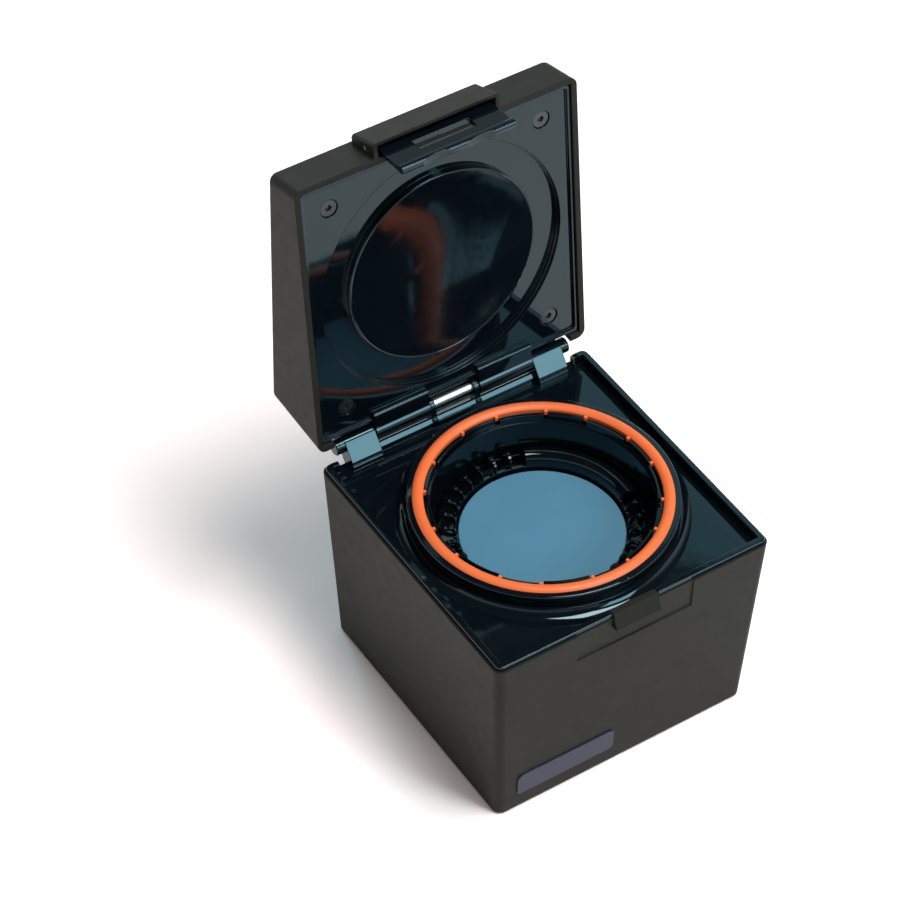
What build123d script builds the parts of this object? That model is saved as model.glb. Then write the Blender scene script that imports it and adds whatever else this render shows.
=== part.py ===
from build123d import *

import os
from math import acos, atan2, cos, degrees, radians, sin, sqrt

# Hearing aid dryer: a square box with a sealed, heated drying chamber under a hinged, latched lid.
# Sizes are in millimetres. The origin is the centre of the base on the surface that it stands on,
# +Z is up and the latch side faces -Y. The lid is stored open, resting on its stop.

# ---------------------------------------------------------------- clearances
fixed_gap = 0.2          # between pieces that are put together once
moving_gap = 0.3         # between pieces that pass one another
pin_gap = 0.05           # radial, round pins and screw shanks

# ---------------------------------------------------------------- base walls
body_width = 100.0
body_depth = 100.8
body_height = 71.9       # table to the top of the matte wall
foot_height = 0.8        # thickness of the non-slip pad that the base stands on
wall_lean = 3.2          # how far each wall leans in at the bottom
wall_corner = 3.0
least_corner = 0.6       # smallest corner of the inner outlines
wall = 1.8
panel_half_width = 21.2  # shallow recess that the latch flap lies in
panel_drop = 11.8
panel_depth = 0.4
name_plate_width = 36.0
name_plate_height = 9.0
name_plate_thickness = 0.5
name_plate_margin = 10.0  # from the corner of the base to the plate's end
name_plate_z = 11.5
name_plate_corner = 1.6

# ---------------------------------------------------------------- underside
cover_thickness = 2.4
corner_post_radius = 3.6
corner_post_height = 14.0
corner_post_inset = 3.2  # from the leaning wall's inner face at the bottom to the post's axis
pad_margin = 15.8        # from the bottom edge of the walls to the non-slip pad
pad_corner = 6.0
exhaust_slots = 6
exhaust_slot_width = 1.6
exhaust_slot_length = 7.0
exhaust_slot_pitch = 3.6
base_screw_radius = 1.3
base_screw_head_radius = 2.4
base_screw_head_height = 1.3
base_screw_length = 9.0

# ---------------------------------------------------------------- top deck
deck_drop = 2.0          # deck floor below the top of the matte wall
deck_thickness = 2.0
rim_rise = 1.6           # glossy rim above the top of the matte wall
rim_inset = 0.8
rim_width = 2.0
shoulder_rise = 0.4      # seat of the chamber's flange, above the matte wall
boss_margin = 4.0        # from the nearest outer wall to the foot of the round boss
flare_width = 2.8        # how far the boss draws in as it rises
flare_sag = 0.6          # depth of the flare's hollow
shoulder_width = 1.2     # shelf round the collar

# ---------------------------------------------------------------- collar, gasket and snap ring
collar_rise = 4.9        # collar's top above the matte wall
collar_lip_height = 1.9
collar_lip_overhang = 0.6
collar_lip_width = 2.0   # from the gasket to the lip's outer edge
gasket_width = 3.5
gasket_inset = 0.1       # gasket's inner edge behind the collar's bore
gasket_seat_depth = 1.4
gasket_rise = 5.8        # gasket's crown above the matte wall
gasket_shoulder_drop = 0.9
tooth_width = 1.0
tooth_reach = 0.9
tab_thickness = 0.8
tab_top_rise = 4.3
tab_band_height = 0.8
tab_slit = 1.4
tab_pairs = 8            # one narrow and one wide tab in each
narrow_tab_angle = 20.0

# ---------------------------------------------------------------- drying cup and vent ring
cup_flange_thickness = 1.0
cup_step = 0.2           # cup's mouth inside the snap ring
cup_taper = 1.6
cup_wall = 1.5
cup_shoulder_drop = 6.0  # where the sloping upper wall meets the upright lower wall
channel_drop = 13.9      # channel floor below the matte wall's top
cup_floor_thickness = 1.5
vent_ring_gap = 0.3      # to the cup's wall
vent_ring_section = 3.1
vent_ring_wall = 0.9
vent_ring_drop = 9.0     # centre of the ring's round section
cover_start_angle = -7.0  # smooth, unslotted length of the ring
cover_end_angle = 66.4
vent_count = 26
hoop_width = 1.2
vent_sill_drop = 0.8
port_radius = 2.4
port_bore = 1.4
port_length = 6.5
port_angle = 53.0

# ---------------------------------------------------------------- platform and heater
platform_drop = 11.3
platform_gap = 0.7       # to the vent ring
platform_thickness = 1.4
heater_film_thickness = 0.6
heater_film_margin = 2.0
heater_film_bore = 5.0
pad_thickness = 4.0
sensor_radius = 3.0
sensor_height = 2.6

# ---------------------------------------------------------------- hinge
hinge_behind = 2.1       # hinge axis behind the top of the rear wall
hinge_above = 4.0        # and above it
open_angle = 96.0
hinge_pin_radius = 1.45
barrel_radius = 3.4
block_radius = 2.9
ring_radius = 3.0
bracket_half_width = 7.4  # bare length of the pin, each side of the middle
ring_width = 1.6
barrel_length = 20.0
block_width = 10.9
end_boss_radius = 2.6
end_boss_width = 1.8
hinge_cap_width = 1.4
hinge_cap_spigot = 1.2
block_foot_reach = 6.9   # block's foot, in front of the hinge axis
block_foot_height = 1.7
block_foot_round = 0.4
block_face_reach = 6.2   # lower edge of the block's sloping face, in front of the hinge axis
block_face_drop = 3.1    # and below it
bracket_sill_reach = 4.5
bracket_sill_width = 1.0
bracket_sill_height = 2.2
bracket_horn_height = 1.0
stop_length = 2.4
cradle_thickness = 0.8   # half-round cradle behind the bare pin
cradle_start = -145.0    # degrees round the pin, from straight behind it, upwards
cradle_end = 60.0
cradle_mouth_steps = 4  # straight sides of the cut that opens the cradle's mouth
rear_sill_width = 2.0    # sill that fills the rear wall's cut-out
rear_sill_rise = 1.1     # sill's crest above the top of the matte wall
rear_sill_slope = 1.0    # width of the slope up to the crest
rear_lip_reach = 1.2     # sill's lip behind the rear wall
rear_lip_height = 0.7    # and how far it starts below the top of the matte wall
arm_reach = 8.0          # lid arms, in front of the hinge axis
arm_corner = 0.9

# ---------------------------------------------------------------- lid
closing_gap = 1.9        # closed lid's rim above the top of the matte wall
lid_front_height = 15.8
lid_rear_height = 28.5
lid_front_lean = 2.3
lid_rear_lean = 4.6
lid_wall = 2.0
lid_corner = 3.0
lid_edge_round = 2.2
notch_rise = 3.8         # lid's rear cut-out, above the hinge axis
plate_inset = 1.8        # glossy lid plate, in from the rim
plate_thickness = 2.0
plate_corner = 1.2
plate_lip_width = 0.9
plate_lip_height = 1.0
groove_step = 0.5
groove_step_depth = 1.2
dish_clearance = 1.6     # between the snap ring's bore and the dish's rim
dish_depth = 3.7
dish_edge = 0.8
lid_post_margin = 12.2   # from the lid's rim to a post's axis
lid_post_radius = 3.6
lid_pad_radius = 4.5
lid_pad_height = 1.2
lid_screw_radius = 1.5
lid_screw_head_radius = 2.8
lid_screw_head_height = 1.5
lid_screw_length = 8.0
lid_counterbore_gap = 0.3
socket_radius = 1.2
socket_depth = 0.8
socket_points = 6

# ---------------------------------------------------------------- latch
hood_half_width = 22.2
hood_reach = 5.5         # hood in front of the lid's rim
hood_slope = 0.28        # how fast the hood leans back with height
hood_height = 13.6
hood_wall = 1.1
hood_side_wall = 1.4
hood_round = 1.0
flap_half_width = 20.0
flap_stand_off = 0.8     # flap's inner face in front of the lid's rim
flap_thickness = 1.6
flap_pivot_rise = 5.5    # above the lid's rim
flap_pivot_reach = 1.0   # in front of the lid's rim
flap_barrel_radius = 1.6
flap_reach = 12.6        # flap's tip below the lid's rim
flap_lip_height = 3.0
flap_lip_thickness = 2.6
flap_lip_round = 1.1
flap_tail_height = 3.4
flap_tail_thickness = 1.0
window_half_width = 10.0
window_top_drop = 1.7    # below the lid's rim
window_sill_gap = 0.4    # below the strike's hook, lid closed
scallop_radius = 16.0
scallop_depth = 0.8
scallop_x = 7.8
latch_pin_radius = 0.8
spring_half_width = 4.0
spring_thickness = 0.4
strike_half_width = 8.2
strike_drop = 4.0        # strike's hook below the top of the matte wall
strike_reach = 1.6       # hook in front of the wall
strike_slit = 0.4

# ---------------------------------------------------------------- works in the base
board_length = 70.0
board_width = 26.0
board_thickness = 1.6
board_setback = 13.4     # from the front wall's top outline to the board
standoff_height = 5.0
standoff_radius = 2.6
board_screw_radius = 1.1
board_screw_head_radius = 2.0
board_screw_head_height = 1.2
board_screw_length = 5.0
board_hole_inset = 4.0
pump_head_length = 24.0
pump_head_width = 22.0
pump_head_height = 24.0
pump_rise = 6.0          # pump above the cover, on its cradle
motor_radius = 11.0
motor_length = 32.0
cradle_wall = 2.0
hose_wall = 1.2
coil_width = 9.0
coil_depth = 10.0
coil_height = 12.0
chip_width = 10.0
chip_height = 1.6
header_width = 5.0
header_length = 16.0
header_height = 7.0
capacitor_radius = 3.2
capacitor_height = 11.0
capacitor_reach = 4.5    # from the end of the board's holes row to each capacitor
jack_width = 12.0
jack_depth = 9.0
jack_height = 10.0
jack_margin = 22.0       # from the side wall's top outline to the socket's axis
jack_z = 14.0
jack_ring_radius = 4.4
jack_bore = 2.9

# ---------------------------------------------------------------- heights and places worked out from them
half_width = body_width / 2
half_depth = body_depth / 2
flare_radius = min(half_width, half_depth) - boss_margin
shoulder_radius = flare_radius - flare_width
collar_skirt_outer = shoulder_radius - shoulder_width
collar_outer = collar_skirt_outer + collar_lip_overhang
gasket_outer = collar_outer - collar_lip_width
gasket_bore = gasket_outer - gasket_width
collar_bore = gasket_bore - gasket_inset
cover_top = foot_height + cover_thickness
deck_floor = body_height - deck_drop
deck_under = deck_floor - deck_thickness
rim_top = body_height + rim_rise
shoulder_z = body_height + shoulder_rise
flange_top = shoulder_z + cup_flange_thickness
collar_top = body_height + collar_rise
gasket_crown = body_height + gasket_rise
gasket_seat_z = collar_top - gasket_seat_depth
tab_ring_outer = collar_bore - fixed_gap
tab_ring_inner = tab_ring_outer - 2 * tab_thickness
cup_bore_top = tab_ring_inner - cup_step
cup_bore_low = cup_bore_top - cup_taper
vent_ring_radius = cup_bore_low - vent_ring_gap - vent_ring_section
platform_radius = vent_ring_radius - vent_ring_section - platform_gap
heater_plate_radius = platform_radius - fixed_gap
heater_film_radius = heater_plate_radius - heater_film_margin
channel_floor = body_height - channel_drop
cup_under = channel_floor - cup_floor_thickness
vent_centre_z = body_height - vent_ring_drop
platform_top = body_height - platform_drop
platform_under = platform_top - platform_thickness
hinge_y = half_depth + hinge_behind
hinge_z = body_height + hinge_above
barrel_start = bracket_half_width + ring_width + moving_gap
barrel_end = barrel_start + barrel_length
block_start = barrel_end + moving_gap
block_end = block_start + block_width
end_boss_end = block_end + end_boss_width
hinge_end = end_boss_end + hinge_cap_width
notch_half_width = hinge_end + 2 * moving_gap
rim_z = body_height + closing_gap
plate_face = rim_z + plate_inset
plate_back = plate_face + plate_thickness
groove_outer = collar_outer + moving_gap
groove_mouth = groove_outer + groove_step
groove_floor = gasket_crown + moving_gap
dish_radius = tab_ring_inner - dish_clearance
jack_x = half_width - jack_margin
name_plate_x = -half_width + name_plate_margin + name_plate_width / 2
board_y = -half_depth + board_setback + board_width / 2
flap_face_y = -half_depth - flap_stand_off - flap_thickness
flap_back_y = -half_depth - flap_stand_off
flap_pivot_y = -half_depth - flap_pivot_reach
flap_pivot_z = rim_z + flap_pivot_rise
flap_tip_z = rim_z - flap_reach
window_low_z = body_height - strike_drop - window_sill_gap
window_high_z = rim_z - window_top_drop


# ---------------------------------------------------------------- shape helpers
def slab(x_low, x_high, y_low, y_high, z_low, z_high):
    """Plain block between the given limits."""
    block = Box(x_high - x_low, y_high - y_low, z_high - z_low)
    return Pos((x_low + x_high) / 2, (y_low + y_high) / 2, (z_low + z_high) / 2) * block


def rod(radius, x, y, z_low, z_high):
    """Upright cylinder."""
    return Pos(x, y, (z_low + z_high) / 2) * Cylinder(radius, z_high - z_low)


def cross_rod(radius, x_low, x_high, y, z):
    """Cylinder lying along X."""
    return Pos((x_low + x_high) / 2, y, z) * Rot(0, 90, 0) * Cylinder(radius, x_high - x_low)


def side_prism(points, x_low, x_high):
    """Solid with the given (y, z) outline, from x_low to x_high."""
    outline = make_face(Plane.YZ * Polyline(*points, close=True))
    return Pos(x_low, 0, 0) * extrude(outline, amount=x_high - x_low, dir=(1, 0, 0))


def turned(*edges):
    """Ring or disc from the edges of its (radius, z) outline."""
    outline = make_face(Plane.XZ * Curve(list(edges)))
    return revolve(outline, Axis.Z)


def ring(points):
    """Ring or disc with a straight-sided (radius, z) outline."""
    return turned(Polyline(*points, close=True))


def lean_at(z):
    """How far the base walls have leant in at height z."""
    return wall_lean * (body_height - z) / (body_height - foot_height)


def drafted_block(low, high, shrink):
    """Block whose sides follow the leaning base walls, shrunk on every side."""
    outlines = []
    for z in (low, high):
        inset = lean_at(z) + shrink
        corner = max(wall_corner - shrink, least_corner)
        outline = RectangleRounded(body_width - 2 * inset, body_depth - 2 * inset, corner)
        outlines.append(Pos(0, 0, z) * outline)
    return loft(outlines)


def upright_block(low, high, inset):
    """Block whose sides are upright, set in from the top outline of the base walls."""
    corner = max(wall_corner - inset, least_corner)
    outline = RectangleRounded(body_width - 2 * inset, body_depth - 2 * inset, corner)
    return Pos(0, 0, low) * extrude(outline, amount=high - low)


def both_sides(shape):
    """The shape and its mirror image across the middle of the box."""
    return shape + mirror(shape, Plane.YZ)


def corners(x, y):
    """The four places at plus and minus x and y."""
    return [(sx * x, sy * y) for sx in (-1, 1) for sy in (-1, 1)]


def polar(radius, angle):
    """Point at a radius and an angle, in degrees, round the chamber."""
    return radius * cos(radians(angle)), radius * sin(radians(angle))


def opened_point(y, z):
    """Where a (y, z) point of the closed lid lies once the lid is open."""
    c, s = cos(radians(open_angle)), sin(radians(open_angle))
    dy, dz = y - hinge_y, z - hinge_z
    return hinge_y + c * dy + s * dz, hinge_z - s * dy + c * dz


def opened(shape):
    """A piece of the closed lid, swung open about the hinge axis."""
    return shape.rotate(Axis((0, hinge_y, hinge_z), (1, 0, 0)), -open_angle)


def tangent_from(dy, dz, radius, side):
    """Point where a line from (dy, dz) touches a circle round the hinge axis, on one side of it."""
    angle = atan2(dz, dy) + side * acos(radius / sqrt(dy * dy + dz * dz))
    return hinge_y + radius * cos(angle), hinge_z + radius * sin(angle)


# ---------------------------------------------------------------- base shell and underside
corner_post_x = half_width - lean_at(foot_height) - wall - corner_post_inset
corner_post_y = half_depth - lean_at(foot_height) - wall - corner_post_inset


def make_base_shell():
    """Leaning outer walls with corner posts, latch recess, hinge notch and inlet hole."""
    shell = drafted_block(foot_height, body_height, 0) - drafted_block(0, body_height + wall, wall)
    for x, y in corners(corner_post_x, corner_post_y):
        shell += rod(corner_post_radius, x, y, cover_top, cover_top + corner_post_height)
    for x, y in corners(corner_post_x, corner_post_y):
        shell -= rod(base_screw_radius + pin_gap, x, y, foot_height, cover_top + base_screw_length)
    panel = slab(-panel_half_width, panel_half_width, -half_depth, 0, body_height - panel_drop, rim_top)
    shell -= panel - drafted_block(0, body_height + wall, panel_depth)
    hook_half = strike_half_width + fixed_gap
    hook_low = body_height - strike_drop - fixed_gap
    shell -= slab(-hook_half, hook_half, -half_depth - wall, 0, hook_low, rim_top)
    shell -= slab(-notch_half_width, notch_half_width, 0, half_depth + wall, deck_under, rim_top)
    hole = Cylinder(jack_ring_radius + fixed_gap, 2 * (wall_lean + 2 * wall))
    return shell - Pos(jack_x, half_depth, jack_z) * Rot(90, 0, 0) * hole


def board_hole_places():
    """Where the circuit board is screwed down."""
    x = board_length / 2 - board_hole_inset
    y = board_width / 2 - board_hole_inset
    return [(px, board_y + py) for px, py in corners(x, y)]


def make_bottom_cover():
    """Plate that closes the underside, with standoffs for the board and a cradle for the pump."""
    cover = drafted_block(foot_height, cover_top, wall + fixed_gap)
    for x, y in board_hole_places():
        cover += rod(standoff_radius, x, y, cover_top, cover_top + standoff_height)
        cover -= rod(board_screw_radius + pin_gap, x, y, cover_top, cover_top + standoff_height)
    seat_z = cover_top + pump_rise
    for x in (motor_x_low + cradle_wall, motor_x_high - 2 * cradle_wall):
        cover += slab(x, x + cradle_wall, pump_y - motor_radius, pump_y + motor_radius, cover_top, motor_z)
    cover -= cross_rod(motor_radius + fixed_gap, motor_x_low, motor_x_high, pump_y, motor_z)
    head_low, head_high = pump_x - pump_head_length / 2, pump_x + pump_head_length / 2
    for x in (head_low + cradle_wall, head_high - 2 * cradle_wall):
        y_low, y_high = pump_y - pump_head_width / 2, pump_y + pump_head_width / 2
        cover += slab(x, x + cradle_wall, y_low + cradle_wall, y_high - cradle_wall, cover_top, seat_z)
    for x, y in corners(corner_post_x, corner_post_y):
        cover -= rod(base_screw_radius + pin_gap, x, y, foot_height, cover_top)
        head_top = foot_height + base_screw_head_height + fixed_gap
        cover -= rod(base_screw_head_radius + fixed_gap, x, y, foot_height, head_top)
    slot_high = half_depth - lean_at(foot_height) - pad_margin / 2
    slot_low = slot_high - exhaust_slot_length
    half_slot = exhaust_slot_width / 2
    for slot in range(exhaust_slots):
        x = (slot - (exhaust_slots - 1) / 2) * exhaust_slot_pitch
        cover -= slab(x - half_slot, x + half_slot, slot_low, slot_high, foot_height, cover_top)
    return cover


def make_non_slip_pad():
    """Thin rounded-square pad that the base stands on."""
    inset = lean_at(foot_height) + pad_margin
    outline = RectangleRounded(body_width - 2 * inset, body_depth - 2 * inset, pad_corner)
    pad = extrude(outline, amount=foot_height)
    return chamfer(pad.edges().group_by(Axis.Z)[0], foot_height / 4)


def make_base_screws():
    """Screws that hold the cover to the corner posts."""
    screws = []
    for x, y in corners(corner_post_x, corner_post_y):
        head_low = foot_height + fixed_gap
        head_top = head_low + base_screw_head_height
        screw = rod(base_screw_head_radius, x, y, head_low, head_top)
        screw += rod(base_screw_radius, x, y, head_top, head_low + base_screw_length)
        screws.append(screw)
    return Compound(screws)


def make_name_plate():
    """Blank rounded plate low on the front wall."""
    lean = degrees(atan2(wall_lean, body_height - foot_height))
    outline = RectangleRounded(name_plate_width, name_plate_height, name_plate_corner)
    plate = extrude(outline, amount=name_plate_thickness)
    plate = chamfer(plate.faces().sort_by(Axis.Z)[-1].edges(), name_plate_thickness / 3)
    y = -half_depth + lean_at(name_plate_z)
    return Pos(name_plate_x, y, name_plate_z) * Rot(90 + lean, 0, 0) * plate


# ---------------------------------------------------------------- deck with the hinge knuckles
def make_deck_boss():
    """Round boss that flares out of the deck and carries the cup and the collar."""
    foot, brow = (flare_radius, deck_floor), (shoulder_radius, body_height)
    hollow = ((flare_radius + shoulder_radius) / 2 - flare_sag, deck_floor + deck_drop / 2)
    return turned(
        Polyline((collar_bore + pin_gap, deck_under), (flare_radius, deck_under), foot),
        ThreePointArc(foot, hollow, brow),
        Polyline(
            brow,
            (shoulder_radius, shoulder_z),
            (collar_bore + pin_gap, shoulder_z),
            (collar_bore + pin_gap, deck_under),
        ),
    )


def make_hinge_block():
    """Outer knuckle: a block with a sloping front face, rounded over the hinge axis, and the open stop."""
    foot_y = hinge_y - block_foot_reach
    foot_top = deck_floor + block_foot_height
    face_y, face_z = hinge_y - block_face_reach, hinge_z - block_face_drop
    front = tangent_from(-block_face_reach, -block_face_drop, block_radius, -1)
    tail_y = half_depth - fixed_gap
    rear = tangent_from(tail_y - hinge_y, deck_under - hinge_z, block_radius, 1)
    outline = [
        (foot_y, deck_under), (foot_y, foot_top), (face_y, foot_top), (face_y, face_z), front,
        (hinge_y, hinge_z), rear, (tail_y, deck_under),
    ]
    block = side_prism(outline, block_start, block_end)
    foot_edges = block.edges().filter_by(Axis.X).filter_by_position(Axis.Y, foot_y, foot_y)
    block = fillet(foot_edges.sort_by(Axis.Z)[-1:], block_foot_round)
    block += cross_rod(block_radius, block_start, block_end, hinge_y, hinge_z)
    lean = lid_rear_lean / lid_rear_height
    stop = [(hinge_y, hinge_z)]
    for z in (hinge_z + notch_rise + fixed_gap, hinge_z + notch_rise + fixed_gap + stop_length):
        y_open, z_open = opened_point(half_depth - lean * (z - rim_z), z)
        stop.append((y_open, z_open - moving_gap))
    stop += [(stop[-1][0], hinge_z - block_radius / 3), (hinge_y, hinge_z - block_radius)]
    block += side_prism(stop, block_start, block_end)
    return block + cross_rod(end_boss_radius, block_end, end_boss_end, hinge_y, hinge_z)


def make_centre_bracket():
    """Two pin rings on stalks, with a cradle behind the bare pin and a low sill with a horn at each end."""
    ring_end = bracket_half_width + ring_width
    sill_y = hinge_y - bracket_sill_reach
    sill_top = deck_floor + bracket_sill_height
    horn_low = deck_floor + bracket_horn_height
    bracket = slab(-ring_end, ring_end, sill_y, sill_y + bracket_sill_width, deck_under, sill_top)
    tail_y = half_depth - fixed_gap
    horn_top = sill_top + bracket_horn_height
    front = tangent_from(sill_y + bracket_sill_width - hinge_y, horn_low - hinge_z, ring_radius, -1)
    rear = tangent_from(tail_y - hinge_y, deck_under - hinge_z, ring_radius, 1)
    stalk = [
        (sill_y, deck_under), (sill_y, horn_top), (sill_y + bracket_sill_width, horn_top), front,
        (hinge_y, hinge_z), rear, (tail_y, deck_under),
    ]
    for x in (-ring_end, bracket_half_width):
        bracket += side_prism(stalk, x, x + ring_width)
        bracket += cross_rod(ring_radius, x, x + ring_width, hinge_y, hinge_z)
    cradle = cross_rod(ring_radius, -ring_end, ring_end, hinge_y, hinge_z)
    cradle -= cross_rod(ring_radius - cradle_thickness, -ring_end, ring_end, hinge_y, hinge_z)
    mouth = [(hinge_y, hinge_z)]
    mouth_pitch = (360 + cradle_start - cradle_end) / cradle_mouth_steps
    for step in range(cradle_mouth_steps + 1):
        dy, dz = polar(2 * ring_radius, cradle_end + step * mouth_pitch)
        mouth.append((hinge_y + dy, hinge_z + dz))
    return bracket + (cradle - side_prism(mouth, -ring_end, ring_end))


def make_rear_sill():
    """Sill that fills the rear wall's cut-out, hollowed to follow the barrels that turn over it."""
    front_y, tail_y, lip_y = half_depth - rear_sill_width, half_depth - fixed_gap, half_depth + rear_lip_reach
    crest_z, lip_low = body_height + rear_sill_rise, body_height - rear_lip_height
    outline = [
        (front_y, deck_under), (front_y, body_height), (front_y + rear_sill_slope, crest_z), (lip_y, crest_z),
        (lip_y, lip_low), (tail_y, lip_low - lip_y + tail_y), (tail_y, deck_under),
    ]
    end = block_start + moving_gap
    return side_prism(outline, -end, end) - cross_rod(barrel_radius + moving_gap, -end, end, hinge_y, hinge_z)


def make_top_deck():
    """Glossy tray on top of the base, with its rim, the round boss and the hinge knuckles."""
    skirt = wall + fixed_gap + lean_at(deck_under)
    rim_inner = rim_inset + rim_width
    deck = upright_block(deck_under, deck_floor, skirt)
    deck += upright_block(deck_under, body_height, skirt) - upright_block(deck_under, rim_top, rim_inner)
    rim = upright_block(body_height, rim_top, rim_inset)
    rim = fillet(rim.faces().sort_by(Axis.Z)[-1].edges(), rim_width / 4)
    deck += rim - upright_block(body_height, rim_top, rim_inner)
    deck -= slab(-notch_half_width, notch_half_width, half_depth / 2, half_depth, deck_floor, rim_top)
    tail_y = half_depth - fixed_gap
    deck += slab(
        -notch_half_width + fixed_gap, notch_half_width - fixed_gap,
        half_depth - 2 * rim_inner, tail_y, deck_under, deck_floor,
    )
    strike_half = strike_half_width + strike_slit
    deck -= slab(-strike_half, strike_half, -half_depth, -half_depth + rim_inner, deck_under, rim_top)
    deck += make_deck_boss()
    deck -= rod(collar_bore + pin_gap, 0, 0, deck_under, rim_top)
    deck += make_rear_sill() + both_sides(make_hinge_block()) + make_centre_bracket()
    return deck - cross_rod(hinge_pin_radius + pin_gap, -hinge_end, hinge_end, hinge_y, hinge_z)


def make_hinge_caps():
    """Round caps that close both ends of the hinge."""
    cap = cross_rod(end_boss_radius, end_boss_end, hinge_end, hinge_y, hinge_z)
    cap = fillet(cap.edges().sort_by(Axis.X)[-1:], hinge_cap_width / 3)
    cap += cross_rod(hinge_pin_radius, end_boss_end - hinge_cap_spigot, end_boss_end, hinge_y, hinge_z)
    return Compound([cap, mirror(cap, Plane.YZ)])


def make_latch_strike():
    """Wedge on the front edge that the latch window drops over."""
    back_y = -half_depth + rim_inset + rim_width
    nose_y = -half_depth - strike_reach
    hook_z = body_height - strike_drop
    outline = [
        (back_y, hook_z), (nose_y + moving_gap, hook_z), (nose_y, hook_z + moving_gap),
        (-half_depth + moving_gap, rim_top - rim_rise / 4), (-half_depth + 2 * moving_gap, rim_top),
        (back_y, rim_top),
    ]
    return side_prism(outline, -strike_half_width, strike_half_width)


# ---------------------------------------------------------------- chamber
def make_chamber_collar():
    """Collar that carries the gasket, with a lip round its top."""
    lip_low = collar_top - collar_lip_height
    seat_outer = gasket_outer + pin_gap
    collar = ring([
        (collar_bore, flange_top), (collar_skirt_outer, flange_top),
        (collar_skirt_outer, lip_low - fixed_gap), (collar_outer, lip_low + 2 * fixed_gap),
        (collar_outer, collar_top), (seat_outer, collar_top),
        (seat_outer, gasket_seat_z), (collar_bore, gasket_seat_z),
    ])
    circles = collar.edges().filter_by(GeomType.CIRCLE)
    top_edges = circles.filter_by_position(Axis.Z, collar_top, collar_top)
    outer_edge = top_edges.sort_by(SortBy.RADIUS)[-1]
    return fillet(outer_edge, collar_lip_height / 3)


def tab_slit_angles():
    """Angles of the slits between the snap ring's narrow and wide tabs."""
    pitch = 360 / tab_pairs
    angles = []
    for pair in range(tab_pairs):
        angles += [pair * pitch - narrow_tab_angle / 2, pair * pitch + narrow_tab_angle / 2]
    return angles


def make_gasket():
    """Soft sealing ring with a domed crown and a small tooth in each slit of the snap ring."""
    shoulder = gasket_crown - gasket_shoulder_drop
    crown_radius = (gasket_bore + gasket_outer) / 2
    gasket = turned(
        Polyline(
            (gasket_bore, shoulder), (gasket_bore, gasket_seat_z),
            (gasket_outer, gasket_seat_z), (gasket_outer, shoulder),
        ),
        ThreePointArc((gasket_outer, shoulder), (crown_radius, gasket_crown), (gasket_bore, shoulder)),
    )
    tooth_end = gasket_bore - tooth_reach
    for angle in tab_slit_angles():
        x, y = polar((tooth_end + crown_radius) / 2, angle)
        tooth = Box(crown_radius - tooth_end, tooth_width, shoulder - gasket_seat_z)
        gasket += Pos(x, y, (shoulder + gasket_seat_z) / 2) * Rot(0, 0, angle) * tooth
    return gasket


def make_snap_ring():
    """Ring of snap tabs: narrow ones set back, wide ones standing proud, on one band."""
    top = body_height + tab_top_rise
    band_top = flange_top + tab_band_height
    middle = tab_ring_outer - tab_thickness
    snap = ring([
        (tab_ring_inner, flange_top), (tab_ring_outer, flange_top),
        (tab_ring_outer, band_top), (tab_ring_inner, band_top),
    ])
    set_back = [(middle, flange_top), (tab_ring_outer, flange_top), (tab_ring_outer, top), (middle, top)]
    proud = [(tab_ring_inner, flange_top), (middle, flange_top), (middle, top), (tab_ring_inner, top)]
    slit = degrees(tab_slit / tab_ring_outer)
    wide_tab_angle = 360 / tab_pairs - narrow_tab_angle
    for pair in range(tab_pairs):
        centre = pair * 360 / tab_pairs
        for outline, width, middle_angle in (
            (set_back, narrow_tab_angle, centre),
            (proud, wide_tab_angle, centre + 180 / tab_pairs),
        ):
            face = make_face(Plane.XZ * Polyline(*outline, close=True))
            tab = revolve(face, Axis.Z, revolution_arc=width - slit)
            snap += Rot(0, 0, middle_angle - (width - slit) / 2) * tab
    return snap


def make_drying_cup():
    """Chamber wall and floor, hung from its flange, with the suction port underneath."""
    slope_low = body_height - cup_shoulder_drop
    cup = ring([
        (heater_film_radius + fixed_gap, cup_under), (cup_bore_low + cup_wall, cup_under),
        (cup_bore_low + cup_wall, slope_low), (cup_bore_top + cup_wall, shoulder_z),
        (collar_skirt_outer, shoulder_z), (collar_skirt_outer, flange_top), (cup_bore_top, flange_top),
        (cup_bore_low, slope_low), (cup_bore_low, channel_floor),
        (heater_film_radius + fixed_gap, channel_floor),
    ])
    x, y = polar(vent_ring_radius, port_angle)
    cup += rod(port_radius, x, y, cup_under - port_length, cup_under)
    return cup - rod(port_bore, x, y, cup_under - port_length, channel_floor)


def make_vent_ring():
    """Hollow half-round ring round the platform: smooth at the back right, slotted into hoops elsewhere."""
    outer, inner = vent_ring_section, vent_ring_section - vent_ring_wall
    r, z = vent_ring_radius, vent_centre_z
    vents = turned(
        Polyline((r - inner, z), (r - inner, channel_floor), (r - outer, channel_floor), (r - outer, z)),
        ThreePointArc((r - outer, z), (r, z + outer), (r + outer, z)),
        Polyline((r + outer, z), (r + outer, channel_floor), (r + inner, channel_floor), (r + inner, z)),
        ThreePointArc((r + inner, z), (r, z + inner), (r - inner, z)),
    )
    pitch = (360 + cover_start_angle - cover_end_angle) / vent_count
    slot_width = 2 * vent_ring_radius * sin(radians(pitch / 2)) - hoop_width
    slots = []
    for vent in range(vent_count):
        angle = cover_end_angle + (vent + 0.5) * pitch
        x, y = polar(vent_ring_radius, angle)
        slot = Box(3 * outer, slot_width, outer + vent_sill_drop + fixed_gap)
        slots.append(Pos(x, y, z + (outer + fixed_gap - vent_sill_drop) / 2) * Rot(0, 0, angle) * slot)
    return vents - slots


def make_platform():
    """Soft mat that the dried things lie on."""
    mat = rod(platform_radius, 0, 0, platform_under, platform_top)
    return fillet(mat.edges().sort_by(Axis.Z)[-1:], platform_thickness / 4)


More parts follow.
